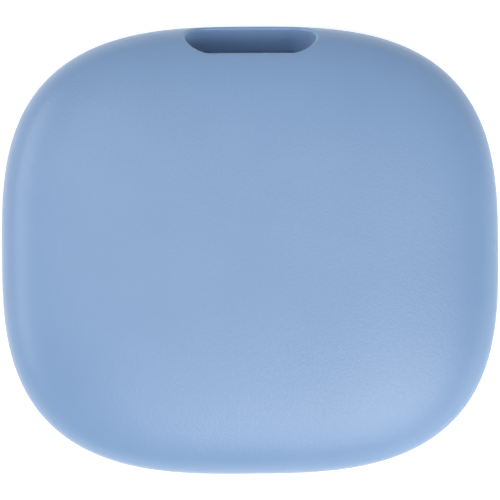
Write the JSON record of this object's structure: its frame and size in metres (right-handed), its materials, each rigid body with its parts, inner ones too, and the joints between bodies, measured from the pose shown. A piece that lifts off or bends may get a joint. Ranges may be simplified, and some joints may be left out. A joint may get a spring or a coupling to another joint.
{
  "type": "bluetooth tracker tag",
  "caption": "Pebble-shaped tracker tag with a rounded-square outline, a press-to-click face, a replaceable coin cell inside and a lanyard slot through its top edge.",
  "frame": {"origin": "middle of the rest face, directly under the centre of the outline's box; the tag lies on its back", "axes": "+Z the way the face looks, +Y towards the lanyard slot, +X along the wider side"},
  "size_m": [0.04, 0.036, 0.0084],
  "materials": {
    "shell_plastic": "fine moulded matte grain, mid blue",
    "frame_plastic": "moulded matte, near black",
    "switch_plastic": "glass-filled nylon, dark",
    "seal_rubber": "matte silicone, dark grey",
    "board_laminate": "green solder mask over glass laminate",
    "chip_resin": "moulded epoxy, satin black",
    "brown_ceramic": "fired ceramic body, tinned ends",
    "pale_ceramic": "fired ceramic, pale",
    "plated_steel": "nickel-plated sheet",
    "cell_steel": "brushed nickel-plated can",
    "gold_plate": "gold-plated spring strip",
    "sounder_brass": "rolled brass sheet",
    "tape_foam": "double-sided foam tape"
  },
  "bodies": {
    "rear_case": {"rear_shell": "shell_plastic", "battery_pad": "seal_rubber", "battery_can": "cell_steel", "battery_cap": "cell_steel", "battery_grommet": "seal_rubber"},
    "module": {"snap_frame": "frame_plastic", "frame_gasket": "seal_rubber", "circuit_board": "board_laminate", "radio_chip": "chip_resin", "sounder_driver": "chip_resin", "boost_inductor": "chip_resin", "radio_crystal": "plated_steel", "clock_crystal": "plated_steel", "chip_antenna": "pale_ceramic", "capacitor_1": "brown_ceramic", "capacitor_2": "brown_ceramic", "capacitor_3": "brown_ceramic", "capacitor_4": "brown_ceramic", "capacitor_5": "brown_ceramic", "capacitor_6": "brown_ceramic", "resistor_1": "chip_resin", "resistor_2": "chip_resin", "resistor_3": "chip_resin", "resistor_4": "chip_resin", "positive_contact_1": "gold_plate", "positive_contact_2": "gold_plate", "negative_contact": "gold_plate", "sounder_spring_1": "gold_plate", "sounder_spring_2": "gold_plate", "switch_base": "switch_plastic", "switch_dome": "plated_steel", "switch_cover": "plated_steel"},
    "front_cover": {"front_shell": "shell_plastic", "press_pad": "seal_rubber", "sounder_tape": "tape_foam", "sounder_disc": "sounder_brass", "sounder_ceramic": "pale_ceramic"},
    "plunger": {"switch_plunger": "switch_plastic"}
  },
  "joints": [
    {"name": "module_lift", "type": "slide", "parent": "rear_case", "child": "module", "axis": [0, 0, 1], "range_m": [0, 0.014]},
    {"name": "face_press", "type": "slide", "parent": "module", "child": "front_cover", "axis": [0, 0, 1], "range_m": [-0.0002, 0], "stiffness_N_per_m": 6000, "deforming": ["sounder_spring_1", "sounder_spring_2"]},
    {"name": "plunger_press", "type": "slide", "parent": "module", "child": "plunger", "axis": [0, 0, 1], "range_m": [-0.0002, 0], "deforming": ["switch_dome"]}
  ],
  "couplings": [
    {"joint": "plunger_press", "follows": "face_press", "ratio": 1}
  ]
}
